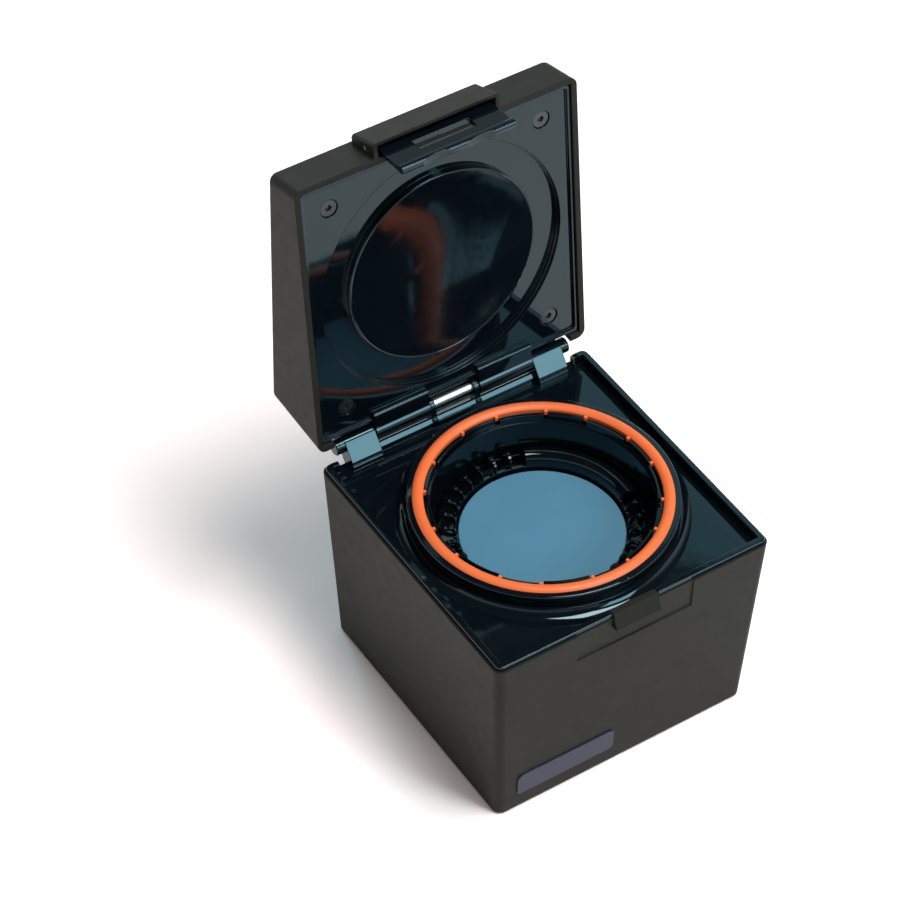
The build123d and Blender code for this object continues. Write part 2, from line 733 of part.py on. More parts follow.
def make_heater_plate():
    """Metal plate under the mat, resting on the cup's floor."""
    return rod(heater_plate_radius, 0, 0, channel_floor, platform_under)


def make_heater_film():
    """Flat heating element on the underside of the plate."""
    film = rod(heater_film_radius, 0, 0, channel_floor - heater_film_thickness, channel_floor)
    return film - rod(heater_film_bore, 0, 0, cup_under, channel_floor)


def make_insulation_pad():
    """Pad below the heater, with a hole for the temperature sensor."""
    high = channel_floor - heater_film_thickness
    pad = rod(heater_film_radius, 0, 0, high - pad_thickness, high)
    return pad - rod(heater_film_bore, 0, 0, high - pad_thickness, high)


def make_temperature_sensor():
    """Small can against the middle of the plate."""
    can = rod(sensor_radius, 0, 0, channel_floor - sensor_height, channel_floor)
    return fillet(can.edges().sort_by(Axis.Z)[:1], sensor_height / 5)


def make_humidity_sensor():
    """Sensor cell under the channel floor."""
    x, y = polar(vent_ring_radius, port_angle + 90)
    cell = rod(sensor_radius, x, y, cup_under - sensor_height, cup_under)
    return fillet(cell.edges().sort_by(Axis.Z)[:1], sensor_height / 5)


# ---------------------------------------------------------------- works under the chamber
pump_x, pump_y = polar(vent_ring_radius, port_angle)
motor_x_high = pump_x - pump_head_length / 2
motor_x_low = motor_x_high - motor_length
motor_z = cover_top + pump_rise + pump_head_height / 2
head_top = cover_top + pump_rise + pump_head_height
hose_low = head_top + fixed_gap
hose_high = cup_under - fixed_gap


def make_pump_head():
    """Suction pump's head, with its port under the cup's port."""
    head = slab(
        pump_x - pump_head_length / 2, pump_x + pump_head_length / 2,
        pump_y - pump_head_width / 2, pump_y + pump_head_width / 2,
        cover_top + pump_rise, head_top,
    )
    head = chamfer(head.edges().filter_by(Axis.Z), cradle_wall)
    head += rod(port_radius, pump_x, pump_y, head_top, head_top + port_length)
    return head - rod(port_bore, pump_x, pump_y, head_top - port_length, head_top + port_length)


def make_pump_motor():
    """Round motor that drives the pump."""
    motor = cross_rod(motor_radius, motor_x_low, motor_x_high, pump_y, motor_z)
    motor = fillet(motor.edges().sort_by(Axis.X)[:1], cradle_wall)
    return motor + cross_rod(motor_radius / 3, motor_x_low - cradle_wall, motor_x_low, pump_y, motor_z)


def make_suction_hose():
    """Straight rubber hose over the pump's port and the cup's port."""
    hose = rod(port_radius + pin_gap + hose_wall, pump_x, pump_y, hose_low, hose_high)
    return hose - rod(port_radius + pin_gap, pump_x, pump_y, hose_low, hose_high)


def make_circuit_board():
    """Control board with its larger components."""
    low = cover_top + standoff_height
    high = low + board_thickness
    half_length, half_board = board_length / 2, board_width / 2
    board = slab(-half_length, half_length, board_y - half_board, board_y + half_board, low, high)
    for x, y in board_hole_places():
        board -= rod(board_screw_radius + pin_gap, x, y, low, high)
    board += slab(-chip_width / 2, chip_width / 2, board_y, board_y + chip_width, high, high + chip_height)
    coil_x = -board_length / 4
    coil = slab(coil_x, coil_x + coil_width, board_y, board_y + coil_depth, high, high + coil_height)
    board += chamfer(coil.edges().filter_by(Axis.Z), coil_width / 6)
    header_x = board_length / 4
    half_header = header_length / 2
    header_low, header_high = board_y - half_header, board_y + half_header
    board += slab(header_x, header_x + header_width, header_low, header_high, high, high + header_height)
    for x in (coil_x - capacitor_reach, header_x - capacitor_reach):
        board += rod(capacitor_radius, x, board_y - half_board / 2, high, high + capacitor_height)
    return board


def make_board_screws():
    """Screws that hold the board to its standoffs."""
    seat = cover_top + standoff_height + board_thickness
    screws = []
    for x, y in board_hole_places():
        screw = rod(board_screw_head_radius, x, y, seat, seat + board_screw_head_height)
        screws.append(screw + rod(board_screw_radius, x, y, seat - board_screw_length, seat))
    return Compound(screws)


def make_power_inlet():
    """Low-voltage socket whose ring passes through the rear wall."""
    wall_y = half_depth - lean_at(jack_z) - wall
    inner_y = half_depth - lean_at(jack_z - jack_height / 2) - wall - fixed_gap
    inlet = slab(
        jack_x - jack_width / 2, jack_x + jack_width / 2, inner_y - jack_depth, inner_y,
        jack_z - jack_height / 2, jack_z + jack_height / 2,
    )
    ring_length = wall_y + wall - inner_y
    face = Pos(jack_x, inner_y + ring_length / 2, jack_z) * Rot(90, 0, 0)
    inlet += face * Cylinder(jack_ring_radius, ring_length)
    socket = Pos(jack_x, inner_y + ring_length / 2 - jack_depth / 4, jack_z) * Rot(90, 0, 0)
    return inlet - socket * Cylinder(jack_bore, ring_length + jack_depth / 2)


# ---------------------------------------------------------------- lid, built closed
def front_face_y(z):
    """Outer face of the lid's leaning front wall at height z, lid closed."""
    return -half_depth + lid_front_lean * (z - rim_z) / lid_front_height


def rear_face_y(z):
    """Outer face of the lid's leaning rear wall at height z, lid closed."""
    return half_depth - lid_rear_lean * (z - rim_z) / lid_rear_height


def lid_wedge(low, shrink, side_shrink):
    """Wedge that follows the lid's outer faces, from height low, shrunk by the given amounts."""
    front_top, rear_top = rim_z + lid_front_height, rim_z + lid_rear_height
    outline = [
        (front_face_y(low) + shrink, low), (rear_face_y(low) - shrink, low),
        (rear_face_y(rear_top) - shrink, rear_top - shrink),
        (front_face_y(front_top) + shrink, front_top - shrink),
    ]
    return side_prism(outline, -half_width + side_shrink, half_width - side_shrink)


def lid_screw_places():
    """Where the plate is screwed to the lid's posts."""
    return corners(half_width - lid_post_margin, half_depth - lid_post_margin)


def make_hood_shape(shrink, side_shrink, low):
    """Hood over the latch: leans back as it rises and meets the lid's front wall."""
    high = rim_z + hood_height - shrink
    face = -half_depth - hood_reach + shrink
    outline = [
        (face + hood_slope * (low - rim_z), low), (face + hood_slope * (high - rim_z), high),
        (front_face_y(high) + fixed_gap, high), (front_face_y(low) + fixed_gap, low),
    ]
    return side_prism(outline, -hood_half_width + side_shrink, hood_half_width - side_shrink)


def make_lid_shell():
    """Matte wedge-shaped lid with the latch hood, four posts and the rear cut-out for the hinge."""
    outer = lid_wedge(rim_z, 0, 0)
    upright = outer.edges().filter_by(lambda e: abs(e.tangent_at(0).Z) > 0.9)
    outer = fillet(upright, lid_corner)
    top_face = max(outer.faces(), key=lambda f: f.normal_at().Z * (f.center().Z > rim_z + lid_wall))
    outer = fillet(top_face.edges(), lid_edge_round)
    shell = outer - lid_wedge(rim_z - lid_wall, lid_wall, lid_wall)
    for x, y in lid_screw_places():
        shell += rod(lid_post_radius, x, y, plate_back + lid_pad_height, rim_z + lid_rear_height) & outer
    for x, y in lid_screw_places():
        shell -= rod(lid_screw_radius + pin_gap, x, y, rim_z, plate_face + lid_screw_length + moving_gap)
    hood = make_hood_shape(0, 0, rim_z)
    front_edges = hood.edges().filter_by(Axis.X).sort_by(Axis.Y)[:2].sort_by(Axis.Z)[-1:]
    hood = fillet(front_edges, 2 * hood_round)
    side_edges = hood.edges().filter_by(lambda e: e.length > hood_height / 2 and abs(e.tangent_at(0).X) < 0.1)
    hood = fillet(side_edges.sort_by(Axis.Y)[:2], hood_round)
    shell += hood
    hollow = make_hood_shape(hood_wall, hood_side_wall, rim_z - hood_wall)
    shell -= hollow - lid_wedge(rim_z - 2 * hood_wall, 0, 0)
    bore = latch_pin_radius + pin_gap
    shell -= cross_rod(bore, -hood_half_width, hood_half_width, flap_pivot_y, flap_pivot_z)
    return shell - slab(
        -notch_half_width, notch_half_width, half_depth - 2 * lid_wall, half_depth + lid_wall,
        rim_z - lid_wall, hinge_z + notch_rise,
    )


def plate_outline(inset):
    """Outline of the glossy plate inside the lid's walls, set in further by the given amount."""
    side = lid_wall + fixed_gap + inset
    front = front_face_y(plate_back) + lid_wall + fixed_gap + inset
    rear = rear_face_y(plate_back) - lid_wall - fixed_gap - inset
    return Pos(0, (front + rear) / 2) * RectangleRounded(body_width - 2 * side, rear - front, plate_corner)


def on_dome(top, edge):
    """Point partway down a dome that is level at its top, on the axis, and ends at the given edge."""
    radius, low = edge
    rise = top - low
    sphere = (radius * radius + rise * rise) / (2 * rise)
    middle = sqrt(0.5) * radius
    return middle, top - sphere + sqrt(sphere * sphere - middle * middle)


def make_groove_and_dish():
    """Annular groove that the collar closes into, round a dished middle."""
    back = groove_floor + plate_thickness
    dish_top = plate_face + dish_depth
    back_top = dish_top + plate_thickness
    edge = (dish_radius - dish_edge, plate_face + fixed_gap)
    brow = (dish_radius, plate_face + dish_edge / 2)
    back_edge = (edge[0] - plate_thickness, back)
    rim_out = groove_mouth + plate_thickness
    step_z = plate_face + groove_step_depth
    return turned(
        Line((0, back_top), (0, dish_top)),
        ThreePointArc((0, dish_top), on_dome(dish_top, edge), edge),
        ThreePointArc(edge, (dish_radius - dish_edge / 3, plate_face), brow),
        Polyline(
            brow, (dish_radius, groove_floor), (groove_outer, groove_floor), (groove_outer, step_z),
            (groove_mouth, step_z), (groove_mouth, plate_face), (rim_out, plate_face), (rim_out, back),
            back_edge,
        ),
        ThreePointArc(back_edge, on_dome(back_top, back_edge), (0, back_top)),
    )


def make_lid_arm():
    """Arm that stands out of the plate and carries a long hinge barrel."""
    low = rim_z - moving_gap
    arm = slab(barrel_start, barrel_end, hinge_y - arm_reach, hinge_y, low, plate_back)
    arm = fillet(arm.edges().filter_by(Axis.X).sort_by(Axis.Y)[:2].sort_by(Axis.Z)[:1], arm_corner)
    return arm + cross_rod(barrel_radius, barrel_start, barrel_end, hinge_y, hinge_z)


def make_lid_plate():
    """Glossy plate inside the lid: border lip, collar groove, dished middle, screw seats and hinge arms."""
    plate = Pos(0, 0, plate_face) * extrude(plate_outline(0), amount=plate_thickness)
    plate += Pos(0, 0, plate_face - plate_lip_height) * extrude(
        plate_outline(0) - plate_outline(plate_lip_width), amount=plate_lip_height,
    )
    plate -= rod(groove_mouth + plate_thickness / 2, 0, 0, rim_z, plate_back)
    plate += make_groove_and_dish()
    head_seat = plate_face + lid_screw_head_height
    for x, y in lid_screw_places():
        plate += rod(lid_pad_radius, x, y, plate_back, plate_back + lid_pad_height)
    for x, y in lid_screw_places():
        plate -= rod(lid_screw_head_radius + lid_counterbore_gap, x, y, plate_face, head_seat)
        plate -= rod(lid_screw_radius + pin_gap, x, y, plate_face, plate_back + lid_pad_height)
    plate += both_sides(make_lid_arm())
    return plate - cross_rod(hinge_pin_radius + pin_gap, -barrel_end, barrel_end, hinge_y, hinge_z)


def make_lid_screws():
    """Screws with a star socket that hold the plate in the lid."""
    star = []
    for point in range(2 * socket_points):
        radius = socket_radius if point % 2 == 0 else 0.7 * socket_radius
        star.append(polar(radius, 180 * point / socket_points))
    socket = extrude(make_face(Polyline(*star, close=True)), amount=socket_depth)
    face = plate_face + lid_screw_head_height / 4
    seat = plate_face + lid_screw_head_height
    screws = []
    for x, y in lid_screw_places():
        head = rod(lid_screw_head_radius, x, y, face, seat)
        head = chamfer(head.edges().sort_by(Axis.Z)[:1], lid_screw_head_height / 5)
        screw = head + rod(lid_screw_radius, x, y, seat, plate_face + lid_screw_length)
        screws.append(screw - Pos(x, y, face) * socket)
    return Compound(screws)


# ---------------------------------------------------------------- latch, built closed
def make_latch_flap():
    """Windowed flap with a thick finger lip, turning on a barrel inside the hood."""
    face_y, back_y = flap_face_y, flap_back_y
    lip_top = flap_tip_z + flap_lip_height
    flap = slab(-flap_half_width, flap_half_width, face_y, back_y, flap_tip_z + flap_lip_round, flap_pivot_z)
    lip_back = back_y + fixed_gap
    lip_front = lip_back - flap_lip_thickness
    lip = slab(-flap_half_width, flap_half_width, lip_front, lip_back, flap_tip_z, lip_top)
    flap += fillet(lip.edges().filter_by(Axis.X), flap_lip_round)
    flap += cross_rod(flap_barrel_radius, -flap_half_width, flap_half_width, flap_pivot_y, flap_pivot_z)
    tail_y = flap_pivot_y + flap_tail_thickness / 2
    flap += slab(
        -flap_half_width, flap_half_width, tail_y - flap_tail_thickness, tail_y,
        flap_pivot_z, flap_pivot_z + flap_tail_height,
    )
    window_front, window_back = face_y - flap_thickness, back_y + flap_thickness
    flap -= slab(
        -window_half_width, window_half_width, window_front, window_back, window_low_z, window_high_z,
    )
    for x in (-scallop_x, scallop_x):
        hollow = Rot(90, 0, 0) * Cylinder(scallop_radius, 4 * flap_lip_thickness)
        flap -= Pos(x, back_y, flap_tip_z - scallop_radius + scallop_depth) * hollow
    bore = latch_pin_radius + pin_gap
    return flap - cross_rod(bore, -flap_half_width, flap_half_width, flap_pivot_y, flap_pivot_z)


def make_latch_pin():
    """Pin through the hood's sides and the flap's barrel."""
    end = hood_half_width - fixed_gap
    return cross_rod(latch_pin_radius, -end, end, flap_pivot_y, flap_pivot_z)


def make_latch_spring():
    """Bent leaf that lies on the lid's front wall and presses on the flap's tail."""
    high = rim_z + hood_height - 2 * hood_wall
    bend = flap_pivot_z + flap_tail_height + 3 * spring_thickness
    low = flap_pivot_z + flap_tail_height - 2 * spring_thickness
    tail_y = flap_pivot_y + flap_tail_thickness / 2
    root_y, bend_y, tip_y = front_face_y(high) - pin_gap, front_face_y(bend) - pin_gap, tail_y + pin_gap
    outline = [
        (root_y, high), (bend_y, bend), (tip_y + spring_thickness, low),
        (tip_y, low), (bend_y - spring_thickness, bend), (root_y - spring_thickness, high),
    ]
    return side_prism(outline, -spring_half_width, spring_half_width)


# ---------------------------------------------------------------- hinge pin
def make_hinge_pin():
    """Steel pin through all the knuckles."""
    end = end_boss_end - hinge_cap_spigot - fixed_gap
    return cross_rod(hinge_pin_radius, -end, end, hinge_y, hinge_z)


parts = {
    "base_shell": make_base_shell(),
    "bottom_cover": make_bottom_cover(),
    "non_slip_pad": make_non_slip_pad(),
    "base_screws": make_base_screws(),
    "name_plate": make_name_plate(),
    "top_deck": make_top_deck(),
    "latch_strike": make_latch_strike(),
    "hinge_pin": make_hinge_pin(),
    "hinge_caps": make_hinge_caps(),
    "chamber_collar": make_chamber_collar(),
    "gasket_ring": make_gasket(),
    "snap_ring": make_snap_ring(),
    "drying_cup": make_drying_cup(),
    "vent_ring": make_vent_ring(),
    "platform_mat": make_platform(),
    "heater_plate": make_heater_plate(),
    "heater_film": make_heater_film(),
    "insulation_pad": make_insulation_pad(),
    "temperature_sensor": make_temperature_sensor(),
    "humidity_sensor": make_humidity_sensor(),
    "pump_head": make_pump_head(),
    "pump_motor": make_pump_motor(),
    "suction_hose": make_suction_hose(),
    "circuit_board": make_circuit_board(),
    "board_screws": make_board_screws(),
    "power_inlet": make_power_inlet(),
    "lid_shell": opened(make_lid_shell()),
    "lid_plate": opened(make_lid_plate()),
    "lid_screws": opened(make_lid_screws()),
    "latch_flap": opened(make_latch_flap()),
    "latch_pin": opened(make_latch_pin()),
    "latch_spring": opened(make_latch_spring()),
}

os.makedirs("parts", exist_ok=True)
for name, shape in parts.items():
    export_step(shape, f"parts/{name}.step")
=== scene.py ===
"""Looks of a tabletop hearing aid dryer: finishes, lid screws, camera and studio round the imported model."""

from __future__ import annotations

import logging
import math
from abc import ABC, abstractmethod
from dataclasses import dataclass
from enum import Enum

import bpy
from mathutils import Matrix, Quaternion, Vector

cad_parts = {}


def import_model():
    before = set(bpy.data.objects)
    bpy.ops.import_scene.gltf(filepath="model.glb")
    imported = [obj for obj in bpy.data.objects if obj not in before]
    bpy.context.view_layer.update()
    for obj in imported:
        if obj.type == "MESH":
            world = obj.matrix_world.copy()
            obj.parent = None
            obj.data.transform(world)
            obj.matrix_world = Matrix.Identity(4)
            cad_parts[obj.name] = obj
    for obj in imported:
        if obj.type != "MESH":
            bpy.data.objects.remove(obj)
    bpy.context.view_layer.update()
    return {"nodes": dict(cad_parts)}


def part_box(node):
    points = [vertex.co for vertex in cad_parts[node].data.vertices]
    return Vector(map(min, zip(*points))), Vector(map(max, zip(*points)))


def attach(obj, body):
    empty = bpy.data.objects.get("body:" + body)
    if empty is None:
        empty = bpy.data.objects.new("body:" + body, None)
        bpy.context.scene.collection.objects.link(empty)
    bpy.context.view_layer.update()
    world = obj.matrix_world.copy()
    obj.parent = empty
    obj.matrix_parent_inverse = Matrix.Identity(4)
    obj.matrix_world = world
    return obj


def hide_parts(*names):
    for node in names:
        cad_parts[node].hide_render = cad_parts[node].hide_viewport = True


MM = 0.001
CREASE = math.radians(35.0)
LOG = logging.getLogger("dryer")

Colour = tuple[float, float, float]
Nodes = dict[str, bpy.types.Object]
Socket = bpy.types.NodeSocket


class Body(Enum):
    """Rigid bodies of the model."""

    BASE = "base"
    LID = "lid"
    LATCH = "latch"


class Slot(Enum):
    """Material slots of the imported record."""

    MATTE_SHELL = "matte_shell"
    GLOSS_BLACK = "gloss_black"
    SEAL_ORANGE = "seal_orange"
    MAT_SLATE = "mat_slate"
    FOOT_RUBBER = "foot_rubber"
    BRIGHT_STEEL = "bright_steel"
    BLACK_SCREW = "black_screw"
    SPRING_STEEL = "spring_steel"
    PLATE_BLUE = "plate_blue"
    HEATER_METAL = "heater_metal"
    FILM_AMBER = "film_amber"
    PAD_FOAM = "pad_foam"
    BOARD_GREEN = "board_green"
    PUMP_GREY = "pump_grey"
    HOSE_RUBBER = "hose_rubber"


# ---------------------------------------------------------------- node trees
class Wiring:
    """Node tree with short calls for adding, setting and joining its nodes."""

    def __init__(self, tree: bpy.types.NodeTree) -> None:
        """Keeps the tree."""
        self.tree = tree

    def add(
        self, kind: str, values: dict[str | int, object] | None = None, **settings: object,
    ) -> bpy.types.Node:
        """Adds a node.

        Args:
            kind: Blender's name for the node.
            values: inputs of the node by name or place, each a value or an output to link.
            **settings: attributes of the node.

        Returns:
            The new node.
        """
        node = self.tree.nodes.new(kind)
        for name, setting in settings.items():
            setattr(node, name, setting)
        for name, value in (values or {}).items():
            if isinstance(value, Socket):
                self.tree.links.new(value, node.inputs[name])
            else:
                node.inputs[name].default_value = value
        return node

    def math(self, operation: str, first: object, second: object) -> Socket:
        """Works out one step of arithmetic on numbers or outputs."""
        return self.add("ShaderNodeMath", {0: first, 1: second}, operation=operation).outputs["Value"]


class Shader(Wiring):
    """Node tree of a material or of the world."""

    def __init__(self, tree: bpy.types.NodeTree, output: str) -> None:
        """Empties the tree and gives it an output."""
        super().__init__(tree)
        self.tree.nodes.clear()
        self.output = self.add(output)

    def places(self) -> Socket:
        """Gives the object's own coordinates."""
        return self.add("ShaderNodeTexCoord").outputs["Object"]

    def noise(self, scale: float, detail: float = 2.0, stretch: Colour = (1.0, 1.0, 1.0)) -> Socket:
        """Spreads noise over the object's own coordinates.

        Args:
            scale: features per metre.
            detail: octaves.
            stretch: how much finer the pattern is along each axis.

        Returns:
            The noise's value.
        """
        mapping = self.add("ShaderNodeMapping", {"Vector": self.places(), "Scale": stretch})
        values = {"Vector": mapping.outputs["Vector"], "Scale": scale, "Detail": detail}
        return self.add("ShaderNodeTexNoise", values).outputs["Fac"]

    def between(
        self, value: Socket, low: float, high: float, dark: float = 0.3, light: float = 0.7,
    ) -> Socket:
        """Maps a pattern's value to a range.

        Args:
            value: the pattern.
            low: result where the pattern is at or below dark.
            high: result where it is at or above light.
            dark: lower end of the pattern's range.
            light: upper end of the pattern's range.

        Returns:
            The mapped value.
        """
        values = {"Value": value, 1: dark, 2: light, 3: low, 4: high}
        return self.add("ShaderNodeMapRange", values, clamp=True).outputs["Result"]

    def blend(self, factor: Socket, first: object, second: object) -> Socket:
        """Mixes two colours, each a colour or an output, by a factor."""
        ends = [end if isinstance(end, Socket) else (*end, 1.0) for end in (first, second)]
        mix = self.add("ShaderNodeMix", {"Factor": factor, 6: ends[0], 7: ends[1]}, data_type="RGBA")
        return mix.outputs[2]


def painted(name: str) -> tuple[bpy.types.Material, Shader]:
    """Starts a material and its node tree."""
    material = bpy.data.materials.new(name)
    material.use_nodes = True
    return material, Shader(material.node_tree, "ShaderNodeOutputMaterial")


# ---------------------------------------------------------------- finishes
@dataclass(frozen=True)
class Finish:
    """A moulded or machined surface: a colour and a roughness that drift a little, fine relief, soft edges.

    Scales are in features per metre, and depths and radii in metres.
    """

    name: str
    slot: Slot
    colour: Colour
    drift: Colour
    roughness: tuple[float, float]
    drift_scale: float = 40.0
    grain_scale: float = 2600.0
    grain_depth: float = 0.02 * MM
    metallic: float = 0.0
    coat: float = 0.0
    coat_roughness: float = 0.04
    specular: float = 0.5
    tint: Colour = (1.0, 1.0, 1.0)
    stretch: Colour = (1.0, 1.0, 1.0)
    edge: float = 0.0
    edge_samples: int = 6
    smears: float = 0.0
    smear_scale: float = 28.0
    smear_range: tuple[float, float] = (0.48, 0.72)
    streak_scale: float = 160.0
    smear_colour: Colour = (0.06, 0.10, 0.12)
    dust: float = 0.0
    speck_scale: float = 330.0
    speck_range: tuple[float, float] = (0.05, 0.10)
    dust_colour: Colour = (0.35, 0.37, 0.38)

    def build(self) -> bpy.types.Material:
        """Makes the material, or gives the one already made."""
        made = bpy.data.materials.get(self.name)
        if made is not None:
            return made
        material, shader = painted(self.name)
        drift = shader.noise(self.drift_scale, detail=3.0)
        wear = shader.noise(self.drift_scale * 5.0, detail=4.0, stretch=self.stretch)
        colour = shader.blend(shader.between(drift, 0.0, 1.0), self.colour, self.drift)
        roughness = shader.between(wear, *self.roughness)
        if self.smears:
            colour, roughness = self.wipe(shader, colour, roughness)
        if self.dust:
            colour, roughness = self.settle_dust(shader, colour, roughness)
        surface = shader.add("ShaderNodeBsdfPrincipled", {
            "Base Color": colour,
            "Roughness": roughness,
            "Metallic": self.metallic,
            "Specular IOR Level": self.specular,
            "Specular Tint": (*self.tint, 1.0),
            "Coat Weight": self.coat,
            "Coat Roughness": self.coat_roughness,
            "Normal": self.relief(shader),
        })
        shader.tree.links.new(surface.outputs["BSDF"], shader.output.inputs["Surface"])
        return material

    def relief(self, shader: Shader) -> Socket:
        """Gives the fine grain of the surface, over edges that are softened where the finish says so.

        Args:
            shader: the material's nodes.

        Returns:
            The surface's normal.
        """
        grain = {
            "Height": shader.noise(self.grain_scale, 1.0, self.stretch),
            "Distance": self.grain_depth,
        }
        if self.edge:
            soft = shader.add("ShaderNodeBevel", {"Radius": self.edge}, samples=self.edge_samples)
            grain["Normal"] = soft.outputs["Normal"]
        return shader.add("ShaderNodeBump", grain).outputs["Normal"]

    def wipe(self, shader: Shader, colour: Socket, roughness: Socket) -> tuple[Socket, Socket]:
        """Leaves broad, faint smears where hands and cloths have been.

        Args:
            shader: the material's nodes.
            colour: colour of the clean surface.
            roughness: roughness of the clean surface.

        Returns:
            Colour and roughness with the smears on them.
        """
        smear = shader.noise(self.smear_scale, 5.0, (1.0, 1.6, 0.8))
        streak = shader.noise(self.streak_scale, 3.0, (1.0, 0.3, 0.25))
        broad = shader.between(smear, 0.0, 1.0, *self.smear_range)
        amount = shader.math("MULTIPLY", broad, shader.between(streak, 0.4, 1.0))
        amount = shader.math("MULTIPLY", amount, self.smears)
        colour = shader.blend(amount, colour, self.smear_colour)
        return colour, shader.math("ADD", roughness, amount)

    def settle_dust(self, shader: Shader, colour: Socket, roughness: Socket) -> tuple[Socket, Socket]:
        """Scatters small pale specks of dust over a polished surface.

        Args:
            shader: the material's nodes.
            colour: colour of the clean surface.
            roughness: roughness of the clean surface.

        Returns:
            Colour and roughness with the dust on them.
        """
        values = {"Vector": shader.places(), "Scale": self.speck_scale}
        specks = shader.add("ShaderNodeTexVoronoi", values).outputs
        near = shader.between(specks["Distance"], 1.0, 0.0, *self.speck_range)
        chosen = shader.between(specks["Color"], 0.0, 1.0, 1.0 - self.dust, 1.0 - self.dust / 2)
        amount = shader.math("MULTIPLY", near, chosen)
        colour = shader.blend(amount, colour, self.dust_colour)
        return colour, shader.math("MAXIMUM", roughness, amount)


TEAL = (0.62, 0.90, 0.96)

MATTE = Finish(
    "satin_black_shell", Slot.MATTE_SHELL, (0.0190, 0.0175, 0.0135), (0.0220, 0.0205, 0.0160),
    (0.46, 0.52), grain_scale=3000.0, grain_depth=0.03 * MM, specular=0.10, tint=(0.80, 0.97, 1.0),
    edge=0.4 * MM,
)
GLOSS = Finish(
    "polished_black", Slot.GLOSS_BLACK, (0.002, 0.004, 0.006), (0.003, 0.005, 0.008), (0.03, 0.07),
    grain_scale=240.0, grain_depth=0.006 * MM, tint=TEAL, dust=0.08, smears=0.03, edge=0.3 * MM,
)
SATIN = Finish(
    "satin_black_chamber", Slot.GLOSS_BLACK, (0.0015, 0.0025, 0.0040), (0.0020, 0.0035, 0.0050),
    (0.06, 0.11), grain_scale=500.0, grain_depth=0.008 * MM, specular=0.42, tint=TEAL, dust=0.05,
    edge=0.2 * MM,
)
SEAL = Finish(
    "orange_silicone", Slot.SEAL_ORANGE, (0.92, 0.165, 0.040), (0.95, 0.185, 0.05), (0.36, 0.46),
    grain_scale=1500.0, grain_depth=0.01 * MM, specular=0.4, edge=0.2 * MM,
)
SLATE = Finish(
    "slate_blue_mat", Slot.MAT_SLATE, (0.078, 0.222, 0.325), (0.086, 0.238, 0.345), (0.50, 0.60),
    grain_scale=4200.0, grain_depth=0.03 * MM, specular=0.4, edge=0.2 * MM,
)
FOOT = Finish(
    "black_foot_rubber", Slot.FOOT_RUBBER, (0.012, 0.012, 0.012), (0.018, 0.018, 0.018),
    (0.75, 0.85), grain_scale=1800.0, grain_depth=0.06 * MM,
)
STEEL = Finish(
    "bright_steel", Slot.BRIGHT_STEEL, (0.80, 0.86, 0.88), (0.74, 0.80, 0.84), (0.30, 0.42),
    grain_scale=500.0, grain_depth=0.012 * MM, metallic=1.0, stretch=(1.0, 14.0, 14.0),
)
SCREW = Finish(
    "black_oxide_screw", Slot.BLACK_SCREW, (0.045, 0.052, 0.058), (0.060, 0.068, 0.074),
    (0.14, 0.24), grain_scale=1800.0, grain_depth=0.02 * MM, metallic=0.7, edge=0.15 * MM,
)
SPRING = Finish(
    "spring_strip", Slot.SPRING_STEEL, (0.42, 0.43, 0.45), (0.36, 0.37, 0.40), (0.25, 0.36),
    grain_scale=700.0, grain_depth=0.01 * MM, metallic=1.0, stretch=(1.0, 8.0, 8.0),
)
PLATE = Finish(
    "deep_blue_plate", Slot.PLATE_BLUE, (0.003, 0.012, 0.045), (0.004, 0.016, 0.055), (0.14, 0.22),
    grain_scale=900.0, grain_depth=0.01 * MM, specular=0.3, edge=0.15 * MM,
)
HEATER = Finish(
    "plain_aluminium", Slot.HEATER_METAL, (0.62, 0.63, 0.64), (0.56, 0.57, 0.58), (0.30, 0.42),
    grain_scale=900.0, grain_depth=0.02 * MM, metallic=1.0,
)
FILM = Finish(
    "amber_film", Slot.FILM_AMBER, (0.34, 0.115, 0.012), (0.38, 0.14, 0.018), (0.20, 0.32), coat=0.4,
)
FOAM = Finish(
    "insulating_foam", Slot.PAD_FOAM, (0.52, 0.50, 0.44), (0.46, 0.44, 0.40), (0.88, 0.96),
    grain_scale=1300.0, grain_depth=0.2 * MM,
)
BOARD = Finish(
    "solder_mask_green", Slot.BOARD_GREEN, (0.010, 0.075, 0.025), (0.014, 0.090, 0.032),
    (0.28, 0.38), coat=0.3,
)
PUMP = Finish(
    "pump_housing", Slot.PUMP_GREY, (0.040, 0.043, 0.048), (0.050, 0.053, 0.058), (0.42, 0.52),
    grain_depth=0.03 * MM, edge=0.3 * MM,
)
HOSE = Finish(
    "black_hose", Slot.HOSE_RUBBER, (0.015, 0.015, 0.016), (0.020, 0.020, 0.021), (0.50, 0.62),
)


